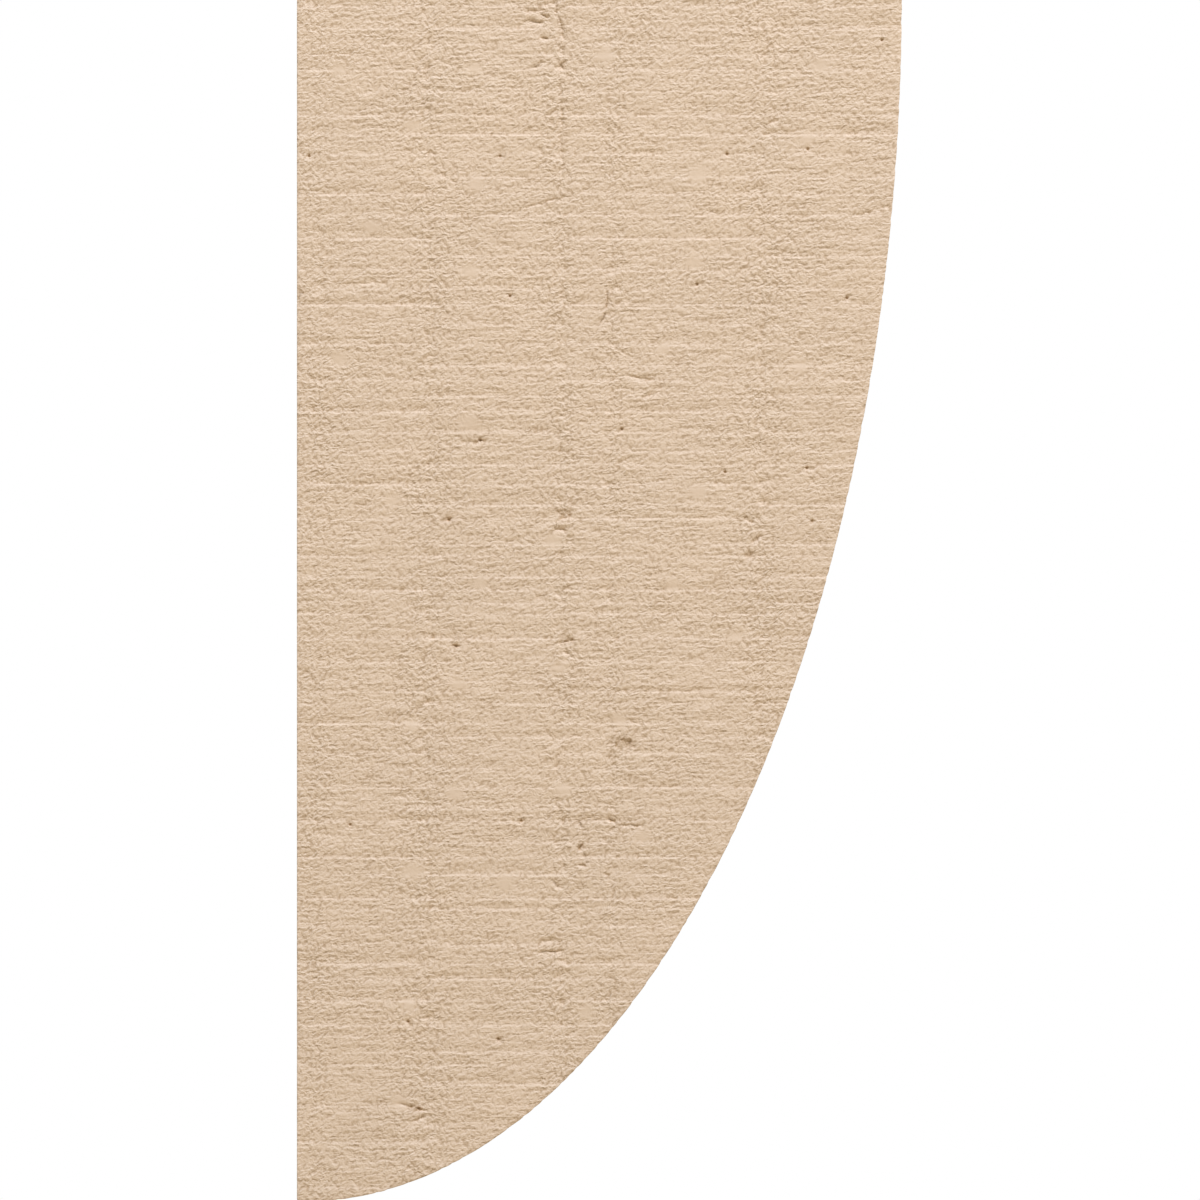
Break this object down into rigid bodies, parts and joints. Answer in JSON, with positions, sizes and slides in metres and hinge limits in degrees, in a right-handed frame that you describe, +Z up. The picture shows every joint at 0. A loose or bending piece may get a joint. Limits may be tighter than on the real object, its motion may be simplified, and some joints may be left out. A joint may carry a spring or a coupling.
{
  "type": "corbel",
  "caption": "Plain corbel block with a flat back and top and a quarter-ellipse front, moulded with rough sawn faces, for carrying a shelf, beam end or eave.",
  "frame": {"origin": "middle of the flat back face, which lies against the wall", "axes": "+X out from the wall along the top face, +Y across the corbel, +Z up"},
  "size_m": [0.3048, 0.1524, 0.6096],
  "materials": {
    "tan_primer": "matt tan priming coat over a moulded rough sawn surface"
  },
  "bodies": {
    "root": {"corbel": "tan_primer"}
  },
  "joints": []
}
